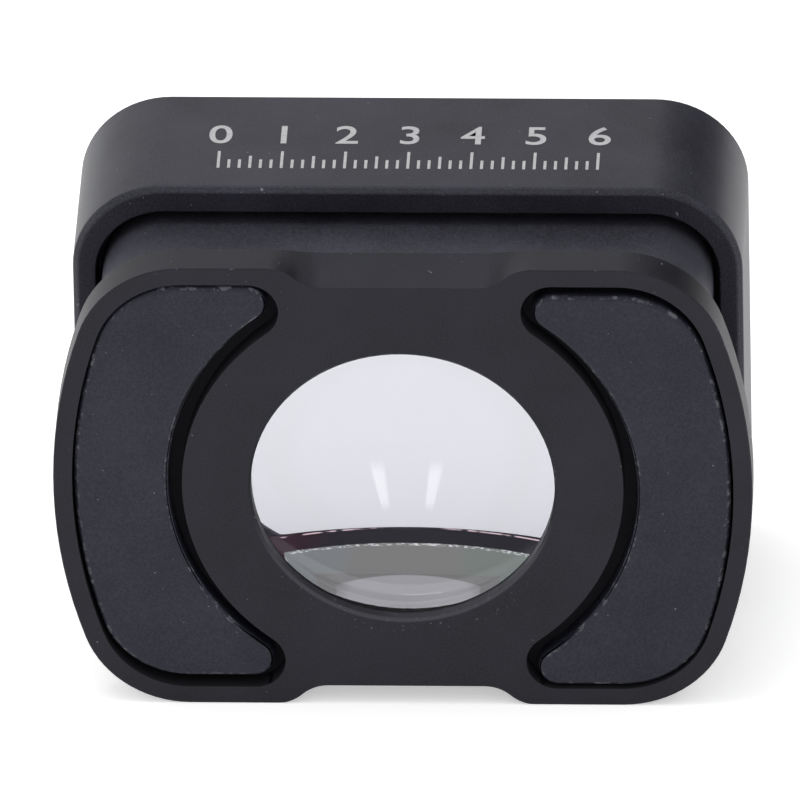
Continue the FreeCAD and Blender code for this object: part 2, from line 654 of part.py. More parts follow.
def make_magnet_tape(label, side):
    body = new_body(label)
    sketch = face_sketch(body, label.title().replace("_", ""), MAGNET_FRONT)
    edge = SIZE["magnet_edge_bevel"]
    half = SIZE["plate_half_height"] - SIZE["pocket_inset"] - SIZE["magnet_end_gap"] - edge
    inset = SIZE["pocket_inset"] + SIZE["magnet_outer_gap"] + edge
    crescent(sketch, side, half, inset, MAGNET_INNER_RADIUS + edge, SIZE["magnet_tip_radius"] - edge)
    pad(body, sketch, SIZE["tape_thickness"])
    shift = SIZE["magnet_shift"] if side < 0 else -SIZE["magnet_shift"]
    body.setExpression("Placement.Base.z", shift.text)
    doc.recompute()
    return body


# Neck: the block between plate and hood, with the rear bore and the light shaft.
def make_neck_frame():
    body = new_body("neck_frame")
    outline = face_sketch(body, "NeckOutline", SIZE["plate_thickness"])
    rounded_rectangle(outline, NECK_HALF_WIDTH, NECK_HALF_HEIGHT, SIZE["neck_corner_radius"])
    pad(body, outline, SIZE["neck_front"] - SIZE["plate_thickness"])
    bore = face_sketch(body, "ElementBore", SIZE["plate_thickness"])
    add_circle(bore, SIZE["element_bore_radius"])
    cut(body, bore, BORE_END - SIZE["plate_thickness"])
    shaft = face_sketch(body, "LightShaft", BORE_END)
    flatted_circle(shaft, SHAFT_RADIUS, SHAFT_FLAT)
    cut(body, shaft, SIZE["neck_front"] - BORE_END)
    hole = SIZE["screw_radius"] + SIZE["screw_hole_gap"]
    depth = SIZE["screw_length"] + SIZE["screw_hole_gap"]
    rear = face_sketch(body, "RearScrewHoles", SIZE["plate_thickness"])
    four_circles(rear, hole, SCREW_X, SCREW_Z)
    cut(body, rear, SIZE["pocket_depth"] + SIZE["screw_head_height"] + depth - SIZE["plate_thickness"])
    front = face_sketch(body, "FrontScrewHoles", WEB_FRONT - SIZE["screw_head_height"] - depth)
    four_circles(front, hole, SCREW_X, SCREW_Z)
    cut(body, front, SIZE["neck_front"] - WEB_FRONT + SIZE["screw_head_height"] + depth)
    pins = face_sketch(body, "NeckPinHoles", SIZE["plate_thickness"])
    add_circle(pins, SIZE["pin_radius"] + SIZE["screw_hole_gap"], PIN_X)
    add_circle(pins, SIZE["pin_radius"] + SIZE["screw_hole_gap"], -PIN_X)
    pin_end = SIZE["pocket_depth"] + SIZE["pin_length"] + SIZE["screw_hole_gap"] * 2
    cut(body, pins, pin_end - SIZE["plate_thickness"])
    return body


# Hood: the shell around the neck's front end, with a cross wall and the front chamber.
def make_hood_shell():
    body = new_body("hood_shell")
    outline = face_sketch(body, "HoodOutline", SIZE["hood_rear"])
    rounded_rectangle(outline, HOOD_HALF_WIDTH, HOOD_HALF_HEIGHT, SIZE["hood_corner_radius"])
    pad(body, outline, HOOD_FRONT - SIZE["hood_rear"])
    for end in (SIZE["hood_rear"], HOOD_FRONT):
        bevel(body, SIZE["hood_edge_bevel"], edges_on(body.Shape, end))
    recess = face_sketch(body, "RimRecess", SIZE["hood_rear"])
    rim_corner = SIZE["neck_corner_radius"] + SIZE["rim_gap_side"]
    rounded_rectangle(recess, RIM_HALF_WIDTH, RIM_HALF_HEIGHT, rim_corner)
    cut(body, recess, SIZE["neck_front"] - SIZE["hood_rear"])
    chamber = face_sketch(body, "FrontChamber", WEB_FRONT)
    inner_x = HOOD_HALF_WIDTH - SIZE["hood_wall"]
    inner_z = HOOD_HALF_HEIGHT - SIZE["hood_wall"]
    rounded_rectangle(chamber, inner_x, inner_z, SIZE["hood_corner_radius"] - SIZE["hood_wall"])
    cut(body, chamber, HOOD_FRONT - WEB_FRONT)
    window = face_sketch(body, "WebWindow", SIZE["neck_front"])
    flatted_circle(window, SHAFT_RADIUS, SHAFT_FLAT)
    cut(body, window, SIZE["web_thickness"])
    shanks = face_sketch(body, "WebShankHoles", SIZE["neck_front"])
    four_circles(shanks, SIZE["screw_radius"] + SIZE["screw_hole_gap"], SCREW_X, SCREW_Z)
    cut(body, shanks, SIZE["web_thickness"])
    heads = face_sketch(body, "WebHeadHoles", WEB_FRONT - SIZE["screw_head_height"])
    four_circles(heads, SIZE["screw_head_radius"] + SIZE["screw_hole_gap"], SCREW_X, SCREW_Z)
    cut(body, heads, SIZE["screw_head_height"])
    return body


# Light baffle: a thin flatted sleeve at the bottom of the light shaft, which the front glass rests on.
def make_light_baffle():
    body = new_body("light_baffle")
    outer = face_sketch(body, "BaffleOutside", BORE_END)
    flatted_circle(outer, SIZE["front_glass_radius"], GLASS_FLAT)
    pad(body, outer, SIZE["baffle_length"])
    inner = face_sketch(body, "BaffleInside", BORE_END)
    wall = SIZE["baffle_wall"]
    flatted_circle(inner, SIZE["front_glass_radius"] - wall, GLASS_FLAT - wall)
    cut(body, inner, SIZE["baffle_length"])
    return body


def ring_body(label, rear, thickness, inner_radius, outer_radius):
    """A plain flat ring about the optical axis."""
    body = new_body(label)
    name = label.title().replace("_", "")
    sketch = face_sketch(body, name, rear)
    add_circle(sketch, outer_radius)
    add_circle(sketch, inner_radius)
    pad(body, sketch, thickness)
    return body


def make_rear_gasket():
    inner = APERTURE_RADIUS
    return ring_body("rear_gasket", SIZE["aperture_lip"], SIZE["gasket_thickness"], inner, ELEMENT_EDGE)


# Retaining ring: screwed in behind the rear element, with two spanner slots.
def make_rear_retainer():
    inner = RING_EDGE - SIZE["ring_width"]
    body = ring_body("rear_retainer", ELEMENT_FRONT, SIZE["ring_thickness"], inner, RING_EDGE)
    slots = face_sketch(body, "SpannerSlots", RING_FRONT - SIZE["ring_slot_depth"])
    half = SIZE["ring_slot_width"] * 0.5
    reach = SIZE["element_bore_radius"]
    rectangle(slots, -reach, reach, -half, half)
    cut(body, slots, SIZE["ring_slot_depth"])
    return body


def glass_surface(sketch, vertex, curve, reach):
    """Section of one surface of a glass element, from the axis out to its reach.

    vertex is its place on the axis. A positive curve bulges forward, so its centre lies
    behind the surface, a negative one bulges to the rear, and None is flat. Returns the
    geometry, its end at the axis, its outer end and the place of that outer end.
    """
    if curve is None:
        outer = (vertex.number, reach.number)
        line = add_line(sketch, (vertex.number, 0), outer)
        sketch.addConstraint(Sketcher.Constraint("Vertical", line))
        return line, 1, 2, outer
    radius = curve if curve.number > 0 else -curve
    depth = radius.number - math.sqrt(radius.number ** 2 - reach.number ** 2)
    bulge = math.copysign(1, curve.number)
    centre = (vertex.number - bulge * radius.number, 0)
    outer = (vertex.number - bulge * depth, reach.number)
    if bulge > 0:
        ends = (1, 2)
        arc = add_arc(sketch, centre, (vertex.number, 0), outer)
    else:
        ends = (2, 1)
        arc = add_arc(sketch, centre, outer, (vertex.number, 0))
    sketch.addConstraint(Sketcher.Constraint("PointOnObject", arc, 3, SKETCH_AXIS["x"]))
    measure(sketch, "Radius", arc, radius)
    return arc, ends[0], ends[1], outer


def lens_profile(sketch, rear, rear_curve, front, front_curve, edge, front_reach=None):
    """Half section of a glass element out to its edge radius.

    The front surface may end at a smaller reach, and then a flat shoulder goes on.
    """
    reach = front_reach or edge
    rear_item, rear_axis, rear_outer, rear_top = glass_surface(sketch, rear, rear_curve, edge)
    front_item, front_axis, front_outer, front_top = glass_surface(sketch, front, front_curve, reach)
    rim = add_line(sketch, rear_top, (front_top[0], edge.number))
    axis = add_line(sketch, (front.number, 0), (rear.number, 0))
    join(sketch, rear_item, rear_outer, rim, 1)
    if front_reach is None:
        join(sketch, rim, 2, front_item, front_outer)
    else:
        shoulder = add_line(sketch, (front_top[0], edge.number), front_top)
        join(sketch, rim, 2, shoulder, 1)
        join(sketch, shoulder, 2, front_item, front_outer)
        sketch.addConstraint(Sketcher.Constraint("Vertical", shoulder))
        measure(sketch, "DistanceY", *ORIGIN_POINT, front_item, front_outer, reach)
    join(sketch, front_item, front_axis, axis, 1)
    join(sketch, axis, 2, rear_item, rear_axis)
    place_point(sketch, axis, 1, front, None)
    place_point(sketch, axis, 2, rear, None)
    level_line(sketch, rim, edge)


def flatten_glass(body, rear, front):
    """Grind the top and bottom of a round element level."""
    reach = SIZE["front_glass_radius"] + OVERSHOOT
    flat = GLASS_FLAT
    sketch = face_sketch(body, body.Name.title().replace("_", "") + "Flats", rear)
    rectangle(sketch, -reach, reach, flat, reach)
    rectangle(sketch, -reach, reach, -reach, -flat)
    cut(body, sketch, front - rear)


# Glass: a hollow-fronted rear element, and a cemented crown and flint at the front.
def make_rear_element():
    body = new_body("rear_element")
    sketch = axial_sketch(body, "RearElementSection")
    hollow = -SIZE["rear_inner_curve"]
    lens_profile(sketch, ELEMENT_REAR, None, HOLLOW_VERTEX, hollow, ELEMENT_EDGE, HOLLOW_REACH)
    revolve(body, sketch)
    return body


def make_front_crown():
    body = new_body("front_crown")
    sketch = axial_sketch(body, "CrownSection")
    edge = SIZE["front_glass_radius"]
    lens_profile(sketch, CROWN_REAR, None, BOND_VERTEX, SIZE["bond_radius"], edge)
    revolve(body, sketch)
    flatten_glass(body, CROWN_REAR, BOND_VERTEX)
    return body


def make_front_flint():
    body = new_body("front_flint")
    sketch = axial_sketch(body, "FlintSection")
    edge = SIZE["front_glass_radius"]
    lens_profile(sketch, BOND_VERTEX, SIZE["bond_radius"], FLINT_VERTEX, SIZE["flint_radius"], edge)
    revolve(body, sketch)
    flatten_glass(body, CROWN_REAR, FLINT_VERTEX)
    return body


def frame_body(label, rear, thickness, window_radius, window_flat):
    """A frame that fills the front chamber around a flatted window."""
    body = new_body(label)
    name = label.title().replace("_", "")
    outer = face_sketch(body, name + "Outside", rear)
    half_x = HOOD_HALF_WIDTH - SIZE["hood_wall"] - SIZE["fit_gap"]
    half_z = HOOD_HALF_HEIGHT - SIZE["hood_wall"] - SIZE["fit_gap"]
    corner = SIZE["hood_corner_radius"] - SIZE["hood_wall"] - SIZE["fit_gap"]
    rounded_rectangle(outer, half_x, half_z, corner)
    pad(body, outer, thickness)
    inner = face_sketch(body, name + "Window", rear)
    flatted_circle(inner, window_radius, window_flat)
    cut(body, inner, thickness)
    return body


def make_front_frames():
    """Gasket, lens cell, adhesive frame and bezel, stacked from the cross wall forward.

    From the rim of the glass on, the cell opens as wide as the bezel, which clears the view.
    """
    gasket = frame_body("cell_gasket", WEB_FRONT, SIZE["gasket_thickness"], SHAFT_RADIUS, SHAFT_FLAT)
    cell = frame_body("front_cell", CELL_REAR, CELL_FRONT - CELL_REAR, SHAFT_RADIUS, SHAFT_FLAT)
    mouth = face_sketch(cell, "CellMouth", CELL_MOUTH)
    flatted_circle(mouth, SHAFT_RADIUS, BEZEL_FLAT)
    cut(cell, mouth, CELL_FRONT - CELL_MOUTH)
    tape = frame_body("bezel_tape", CELL_FRONT, SIZE["tape_thickness"], SHAFT_RADIUS, BEZEL_FLAT)
    bezel = frame_body("front_bezel", BEZEL_REAR, SIZE["bezel_thickness"], BEZEL_RADIUS, BEZEL_FLAT)
    front = BEZEL_REAR + SIZE["bezel_thickness"]
    window = inside_window(BEZEL_RADIUS, BEZEL_FLAT)
    bevel(bezel, SIZE["bezel_bevel"], edges_on(bezel.Shape, front, window))
    return [gasket, cell, tape, bezel]


# Edge clips: two arcs that press the round flanks of the front element into its cell.
def make_edge_clips():
    body = new_body("edge_clips")
    ring = face_sketch(body, "ClipRing", CLIP_REAR)
    add_circle(ring, SIZE["front_glass_radius"])
    add_circle(ring, BEZEL_RADIUS)
    pad(body, ring, SIZE["clip_length"])
    gap = face_sketch(body, "ClipGap", CLIP_REAR)
    reach = SIZE["front_glass_radius"] + OVERSHOOT
    rectangle(gap, -CLIP_HALF_GAP, CLIP_HALF_GAP, -reach, reach)
    cut(body, gap, SIZE["clip_length"])
    return body


# Screws: four from behind into the neck, four from the front chamber into the neck.
def make_screws(label, head_rear, shank_rear, socket_rear):
    body = new_body(label)
    name = label.title().replace("_", "")
    shank = face_sketch(body, name + "Shanks", shank_rear)
    four_circles(shank, SIZE["screw_radius"], SCREW_X, SCREW_Z)
    pad(body, shank, SIZE["screw_length"])
    head = face_sketch(body, name + "Heads", head_rear)
    four_circles(head, SIZE["screw_head_radius"], SCREW_X, SCREW_Z)
    pad(body, head, SIZE["screw_head_height"])
    socket = face_sketch(body, name + "Sockets", socket_rear)
    four_circles(socket, SIZE["screw_socket_radius"], SCREW_X, SCREW_Z)
    cut(body, socket, SIZE["screw_socket_depth"])
    return body


def make_plate_screws():
    head = SIZE["pocket_depth"]
    return make_screws("plate_screws", head, head + SIZE["screw_head_height"], head)


def make_hood_screws():
    head = WEB_FRONT - SIZE["screw_head_height"]
    socket = WEB_FRONT - SIZE["screw_socket_depth"]
    return make_screws("hood_screws", head, head - SIZE["screw_length"], socket)


def make_locating_pins():
    body = new_body("locating_pins")
    rear = SIZE["pocket_depth"] + SIZE["screw_hole_gap"]
    sketch = face_sketch(body, "Pins", rear)
    add_circle(sketch, SIZE["pin_radius"], PIN_X)
    add_circle(sketch, SIZE["pin_radius"], -PIN_X)
    pad(body, sketch, SIZE["pin_length"])
    ends = edges_on(body.Shape, rear) + edges_on(body.Shape, rear + SIZE["pin_length"])
    bevel(body, SIZE["pin_bevel"], ends)
    return body


parts = [
    make_rear_plate(),
    make_magnet("magnet_left", -1),
    make_magnet("magnet_right", 1),
    make_magnet_tape("magnet_tape_left", -1),
    make_magnet_tape("magnet_tape_right", 1),
    make_plate_screws(),
    make_locating_pins(),
    make_rear_gasket(),
    make_rear_element(),
    make_rear_retainer(),
    make_neck_frame(),
    make_light_baffle(),
    make_hood_shell(),
    make_hood_screws(),
    make_front_crown(),
    make_front_flint(),
    make_edge_clips(),
]
parts += make_front_frames()

doc.recompute()
for item in doc.Objects:
    if has_failed(item):
        raise ValueError("%s failed: %s" % (item.Name, item.State))
for body in parts:
    if body.Shape.isNull() or not body.Shape.isValid():
        raise ValueError("%s has no valid shape" % body.Label)

for body in parts:
    body.Shape.exportStep("parts/%s.step" % body.Label)
    print(body.Label, len(body.Shape.Solids), round(body.Shape.Volume, 3))
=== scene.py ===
import math
from collections import namedtuple

import bmesh
import bpy
import numpy as np
from mathutils import Matrix, Vector


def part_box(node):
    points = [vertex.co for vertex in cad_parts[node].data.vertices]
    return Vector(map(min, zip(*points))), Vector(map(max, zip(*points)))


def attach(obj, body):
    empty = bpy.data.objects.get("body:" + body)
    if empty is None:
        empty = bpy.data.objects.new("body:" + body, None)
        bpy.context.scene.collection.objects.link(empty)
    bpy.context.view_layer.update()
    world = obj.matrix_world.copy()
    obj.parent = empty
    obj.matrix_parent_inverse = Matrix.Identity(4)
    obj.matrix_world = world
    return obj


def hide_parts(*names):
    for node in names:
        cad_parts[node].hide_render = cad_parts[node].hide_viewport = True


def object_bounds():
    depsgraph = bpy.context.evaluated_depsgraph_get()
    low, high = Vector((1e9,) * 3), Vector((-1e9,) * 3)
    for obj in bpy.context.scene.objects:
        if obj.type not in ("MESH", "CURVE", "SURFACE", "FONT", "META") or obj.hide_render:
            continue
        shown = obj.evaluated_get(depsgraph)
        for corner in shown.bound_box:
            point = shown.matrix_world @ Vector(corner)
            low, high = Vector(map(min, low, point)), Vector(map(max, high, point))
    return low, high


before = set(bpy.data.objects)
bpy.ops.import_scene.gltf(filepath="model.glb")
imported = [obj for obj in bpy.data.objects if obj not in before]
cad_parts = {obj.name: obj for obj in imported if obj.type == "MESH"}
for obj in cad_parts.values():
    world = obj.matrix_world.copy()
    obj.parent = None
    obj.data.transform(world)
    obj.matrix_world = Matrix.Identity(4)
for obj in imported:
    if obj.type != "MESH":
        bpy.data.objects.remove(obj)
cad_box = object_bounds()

# Lengths are in millimetres unless a comment says metres, and MM turns them to metres. x runs to the
# right, y along the optical axis away from the camera with the plate's back at 0, and z up.
MM = 0.001

# The two glass pieces. A vertex is where a surface meets the axis.
REAR_GLASS_RADIUS, REAR_GLASS_BACK = 8.92, 0.8
HOLLOW_REACH, HOLLOW_VERTEX, HOLLOW_RADIUS = 8.42, 3.8, 30.0
DOUBLET_RADIUS, DOUBLET_FLAT = 12.6, 8.9
CROWN_BACK = 7.006
BOND_VERTEX, BOND_RADIUS = 14.406, 19.0
DOME_VERTEX, DOME_RADIUS = 17.006, 22.0
GLASS_IOR = 1.7

# The rear plate's outline and pockets, as far as the pockets' finish needs them.
SIDE_ARC_RADIUS, SIDE_ARC_CENTRE_X = 26.0, -9.45
PLATE_HALF_HEIGHT = 11.85
CORNER_RADIUS, CORNER_CENTRE_X, CORNER_CENTRE_Z = 5.2, 10.26, 6.65
POCKET_INNER_RADIUS, POCKET_FLOOR, POCKET_MARGIN, BACK_SKIN = 10.3, 1.25, 0.5, 0.02
NOTCH_HALF_WIDTH, NOTCH_BOTTOM = 6.5, 10.75

# Real sizes of the patterns. The blasting's grain is drawn twice as coarse as it is, so that it shows.
GRAIN_SIZE, CLOUD_SIZE, RUB_SIZE, MOTE_SIZE = 0.1, 5.0, 0.35, 0.27
FLECK_SIZE, FINE_SIZE, CHIP_SIZE, GAP_SIZE = 0.25, 0.1, 0.22, 0.9

# Faint violet-blue sheen of black dye, as the tint of its reflections.
DYE_SHEEN = (0.87, 0.88, 1.0, 1.0)
BARE_ALUMINIUM, DUST = "#8c8d90", "#707076"
WHITE, BLACK = (1, 1, 1, 1), (0, 0, 0, 1)

# Meshes: points this close are one, in metres; facets that turn less than the first angle are one
# face, and edges that turn more than the second or, on glass, the third are sharp.
MERGE_DISTANCE = 1e-7
ONE_FACE_ANGLE, SHARP_EDGE_ANGLE, GLASS_EDGE_ANGLE = math.radians(0.4), math.radians(28), 0.5
RING_COUNT, REAR_RIM_STEPS, DOUBLET_RIM_STEPS = 16, 32, 40


# Colours and shader nodes.

def linear(hex_colour):
    """sRGB hex text as linear RGBA."""
    channels = [int(hex_colour[place:place + 2], 16) / 255 for place in (1, 3, 5)]
    return [c / 12.92 if c <= 0.04045 else ((c + 0.055) / 1.055) ** 2.4 for c in channels] + [1.0]


def fill_sockets(tree, node, **inputs):
    """Gives a node's inputs their values and links.

    An input is named for its socket, with _ for a space, or is i and the socket's number. Its
    value is a constant, an output, or a node, which gives its first output in use.
    """
    for name, value in inputs.items():
        numbered = name[0] == "i" and name[1:].isdigit()
        socket = node.inputs[int(name[1:])] if numbered else node.inputs[name.replace("_", " ")]
        if isinstance(value, bpy.types.Node):
            value = next(output for output in value.outputs if output.enabled)
        if isinstance(value, bpy.types.NodeSocket):
            tree.links.new(value, socket)
        else:
            socket.default_value = value


def add_node(tree, kind, settings=None, **inputs):
    """One shader node with its settings, its values and its links."""
    node = tree.nodes.new(kind)
    for name, value in (settings or {}).items():
        setattr(node, name, value)
    fill_sockets(tree, node, **inputs)
    return node


def new_material(name, base, roughness, **sockets):
    """A material with one Principled shader; returns it with its tree and shader."""
    material = bpy.data.materials.new(name)
    material.use_nodes = True
    tree = material.node_tree
    shader = tree.nodes["Principled BSDF"]
    fill_sockets(tree, shader, Base_Color=linear(base), Roughness=roughness, **sockets)
    return material, tree, shader


Place = namedtuple("Place", "point across along height")


def place_on_piece(tree):
    """A point's own place in metres: the whole vector, x, y and z."""
    point = add_node(tree, "ShaderNodeTexCoord").outputs["Object"]
    axes = add_node(tree, "ShaderNodeSeparateXYZ", Vector=point).outputs
    return Place(point, axes["X"], axes["Y"], axes["Z"])


def soft_region(tree, *limits):
    """1 inside a region and 0 outside it, with a soft edge between.

    Each limit is a value, where it is still outside, and where it is fully inside. Its share rises
    evenly between the two, and the region is the product of all shares.
    """
    region = None
    for value, outside, inside in limits:
        share = add_node(tree, "ShaderNodeMapRange", Value=value, i1=outside, i2=inside)
        region = share if region is None else add_node(
            tree, "ShaderNodeMath", {"operation": "MULTIPLY"}, i0=region, i1=share,
        )
    return region


def coated(tree, colour, *coats):
    """A colour under further coats, each a share of cover and a hex colour, with the last on top."""
    for cover, coat in coats:
        colour = add_node(
            tree, "ShaderNodeMix", {"data_type": "RGBA"}, Factor=cover, i6=colour, i7=linear(coat),
        )
    return colour


# Finishes.

def grained_black(name, dark, light, roughness, bare=BARE_ALUMINIUM, wear_and_sheen=0.0, gloss=0.3, **sockets):
    """A black skin with a fine even grain, such as aluminium blasted with beads and hard-anodised.

    The grain breaks up highlights, the dye takes a little unevenly in clouds, and a few motes of
    dust lie on it. On corners that rub, where the surface leans 28 to 60 degrees away from the
    back or front, the black wears thin in pale specks; turned high, as on the magnets, the pale
    edges are partly a painted highlight along round edges. wear_and_sheen is how much of a corner.
    """
    material, tree, shader = new_material(
        name, dark, roughness, Specular_IOR_Level=gloss, Specular_Tint=DYE_SHEEN, **sockets,
    )
    where = add_node(tree, "ShaderNodeTexCoord")
    point = where.outputs["Object"]
    grain = add_node(
        tree, "ShaderNodeTexNoise", Vector=point, Scale=1 / (GRAIN_SIZE * MM), Detail=3.0, Roughness=0.7,
    )
    cloud = add_node(
        tree, "ShaderNodeTexNoise", Vector=point, Scale=1 / (CLOUD_SIZE * MM), Detail=4.0, Roughness=0.6,
    )
    uneven = add_node(tree, "ShaderNodeMath", {"operation": "MULTIPLY_ADD"}, i0=cloud, i1=0.5, i2=grain)
    coats = [(soft_region(tree, (uneven, 0.59, 0.91)), light)]
    if wear_and_sheen:
        facing = add_node(tree, "ShaderNodeSeparateXYZ", Vector=where.outputs["Normal"]).outputs["Y"]
        lean = add_node(tree, "ShaderNodeMath", {"operation": "ABSOLUTE"}, i0=facing)
        rub = add_node(
            tree, "ShaderNodeTexNoise", Vector=point, Scale=1 / (RUB_SIZE * MM), Detail=5.0, Roughness=0.75,
        )
        # Pale edges: rubbed through, and on the magnets partly a painted highlight.
        worn_and_sheen = soft_region(
            tree, (lean, 0.5, 0.6), (lean, 0.97, 0.88), (rub, 0.66 - 0.16 * wear_and_sheen, 0.72 - 0.16 * wear_and_sheen),
            (cloud, 0.56 - 0.14 * wear_and_sheen, 0.6 - 0.14 * wear_and_sheen),
        )
        coats.append((worn_and_sheen, bare))
    motes = add_node(
        tree, "ShaderNodeTexNoise", Vector=point, Scale=1 / (MOTE_SIZE * MM), Detail=2.0, Roughness=0.6,
    )
    coats.append((soft_region(tree, (motes, 0.74, 0.77)), DUST))
    rough = add_node(
        tree, "ShaderNodeMapRange", Value=grain, i1=0.3, i2=0.7, i3=roughness - 0.05, i4=roughness + 0.05,
    )
    relief = add_node(tree, "ShaderNodeBump", Strength=0.4, Distance=0.01 * MM, Height=grain)
    colour = coated(tree, linear(dark), *coats)
    fill_sockets(tree, shader, Base_Color=colour, Roughness=rough, Normal=relief)
    return material


def mottled(name, dark, light, roughness, patch_size=1.0, **sockets):
    """A plain industrial finish with a faint unevenness: two close tones in soft patches."""
    material, tree, shader = new_material(name, dark, roughness, **sockets)
    point = add_node(tree, "ShaderNodeTexCoord").outputs["Object"]
    patches = add_node(tree, "ShaderNodeTexNoise", Vector=point, Scale=1 / (patch_size * MM), Detail=4.0)
    fill_sockets(tree, shader, Base_Color=coated(tree, linear(dark), (patches, light)))
    return material


def optical_glass(name, reflection=(0.0, 0.0, 0.0)):
    """Polished optical glass: clear, with a coat that leaves a faint tint and little or no reflection."""
    return new_material(
        name, "#e3e3e7", 0.0, IOR=GLASS_IOR, Transmission_Weight=1.0, Specular_Tint=(*reflection, 1.0),
    )[0]


def glow(material, colour, strength):
    """Painted light: a glow of the colour at the strength, for the light that glass scatters onto a face
    inside it, or for a painted reflection on the glass.
    """
    tree = material.node_tree
    fill_sockets(
        tree, tree.nodes["Principled BSDF"], Emission_Color=colour, Emission_Strength=strength,
    )


def rub_aperture(material):
    """A painted highlight and flecks of bare metal on the plate's aperture, in its lower half.

    The inner wall and its broken edge, which face up there, are painted grey as a highlight where
    the distance from the axis, the root of x x + z z, is under 7.3, y is under 0.54 and z below -4.
    Round it are small flecks of bare metal, rubbed through, at a distance under 7.6 and z below -5.5.
    """
    tree = material.node_tree
    at = place_on_piece(tree)
    sideways = add_node(tree, "ShaderNodeCombineXYZ", X=at.across, Y=0.0, Z=at.height)
    reach = add_node(tree, "ShaderNodeVectorMath", {"operation": "LENGTH"}, i0=sideways)
    noise = add_node(tree, "ShaderNodeTexNoise", Vector=at.point, Scale=1 / (FLECK_SIZE * MM), Detail=4.0)
    # Painted highlight: the lower inner wall, which faces up, is painted grey.
    wall = soft_region(
        tree, (reach, 7.38 * MM, 7.3 * MM), (at.along, 0.64 * MM, 0.54 * MM),
        (at.height, -1.5 * MM, -4.0 * MM),
    )
    flecks = soft_region(
        tree, (noise, 0.64, 0.68), (reach, 8.3 * MM, 7.6 * MM), (at.height, -4.0 * MM, -5.5 * MM),
    )
    shader = tree.nodes["Principled BSDF"]
    body = shader.inputs["Base Color"].links[0].from_socket
    colour = coated(tree, body, (wall, "#3d3d42"), (flecks, "#5a5a60"))
    fill_sockets(tree, shader, Base_Color=colour)


def light_baffle_arch(material):
    """Painted light: the baffle glows grey, and paler under an arch, a painted reflection: y + x x / 26
    is under 6.83, and |x| under 2.9.
    """
    tree = material.node_tree
    at = place_on_piece(tree)
    square = add_node(tree, "ShaderNodeMath", {"operation": "MULTIPLY"}, i0=at.across, i1=at.across)
    drop = add_node(tree, "ShaderNodeMath", {"operation": "DIVIDE"}, i0=square, i1=26 * MM)
    arch = add_node(tree, "ShaderNodeMath", {"operation": "ADD"}, i0=at.along, i1=drop)
    aside = add_node(tree, "ShaderNodeMath", {"operation": "ABSOLUTE"}, i0=at.across)
    under = soft_region(tree, (arch, 6.89 * MM, 6.83 * MM), (aside, 4.1 * MM, 2.9 * MM))
    # Painted light: the grey glow, and the paler arch as a painted reflection.
    glow(material, coated(tree, linear("#807f7f"), (under, "#abaaad")), 1.0)


def wipe_marks(material):
    """Painted reflection of two strip lamps: pale streaks that glow on the flat back of the rear
    glass, which lean together and narrow downwards.

    A streak is full where the distance of |x - 0.17| from its middle, 1.28 + 0.16 z, is under 0.55
    of its half width, 0.356 + 0.07 z, and ends at the half width. Both fade out where z is above
    0.3 or below -1.2.
    """
    tree = material.node_tree
    at = place_on_piece(tree)
    shift = add_node(tree, "ShaderNodeMath", {"operation": "SUBTRACT"}, i0=at.across, i1=0.17 * MM)
    aside = add_node(tree, "ShaderNodeMath", {"operation": "ABSOLUTE"}, i0=shift)
    lean = add_node(tree, "ShaderNodeMath", {"operation": "MULTIPLY"}, i0=at.height, i1=0.16)
    middle = add_node(tree, "ShaderNodeMath", {"operation": "ADD"}, i0=lean, i1=1.28 * MM)
    taper = add_node(tree, "ShaderNodeMath", {"operation": "MULTIPLY"}, i0=at.height, i1=0.07)
    width = add_node(tree, "ShaderNodeMath", {"operation": "ADD"}, i0=taper, i1=0.356 * MM)
    off = add_node(tree, "ShaderNodeMath", {"operation": "SUBTRACT"}, i0=aside, i1=middle)
    distance = add_node(tree, "ShaderNodeMath", {"operation": "ABSOLUTE"}, i0=off)
    away = add_node(tree, "ShaderNodeMath", {"operation": "DIVIDE"}, i0=distance, i1=width)
    streak = soft_region(
        tree, (away, 1.0, 0.55), (at.height, -1.75 * MM, -1.2 * MM), (at.height, 1.1 * MM, 0.3 * MM),
        (at.along, 0.95 * MM, 0.85 * MM),
    )
    # Painted reflection: the streaks glow faintly white.
    glow(material, coated(tree, linear("#000000"), (streak, "#ffffff")), 0.14)


def ground_flat_tones(material):
    """Painted light: the ground flat glows grey, bluish to the left and greenish to the right as a
    painted reflection of the coat, with a fine grain.

    Bright painted glints on chipped glass line the bond, where the distance from the bond sphere's
    centre is over 18.68.
    """
    tree = material.node_tree
    at = place_on_piece(tree)
    fine = add_node(tree, "ShaderNodeTexNoise", Vector=at.point, Scale=1 / (FINE_SIZE * MM), Detail=3.0)
    chip = add_node(tree, "ShaderNodeTexNoise", Vector=at.point, Scale=1 / (CHIP_SIZE * MM), Detail=4.0)
    bond_reach = add_node(
        tree, "ShaderNodeVectorMath", {"operation": "DISTANCE"},
        i0=at.point, i1=(0, (BOND_VERTEX - BOND_RADIUS) * MM, 0),
    )
    aside = add_node(tree, "ShaderNodeMath", {"operation": "ABSOLUTE"}, i0=at.across)
    chip_glints = soft_region(
        tree, (bond_reach, 18.58 * MM, 18.68 * MM), (chip, 0.5, 0.6), (aside, 6.9 * MM, 6.4 * MM),
    )
    colour = coated(
        tree, linear("#888d8d"),
        (soft_region(tree, (at.across, -3.9 * MM, -3.1 * MM)), "#8a8986"),
        (soft_region(tree, (at.across, 2.4 * MM, 3.4 * MM)), "#828b84"),
        (soft_region(tree, (fine, 0.42, 2.6)), "#ffffff"),
        (chip_glints, "#ffffff"),
    )
    # Painted light: the flat glows with these tones.
    glow(material, colour, 1.08)


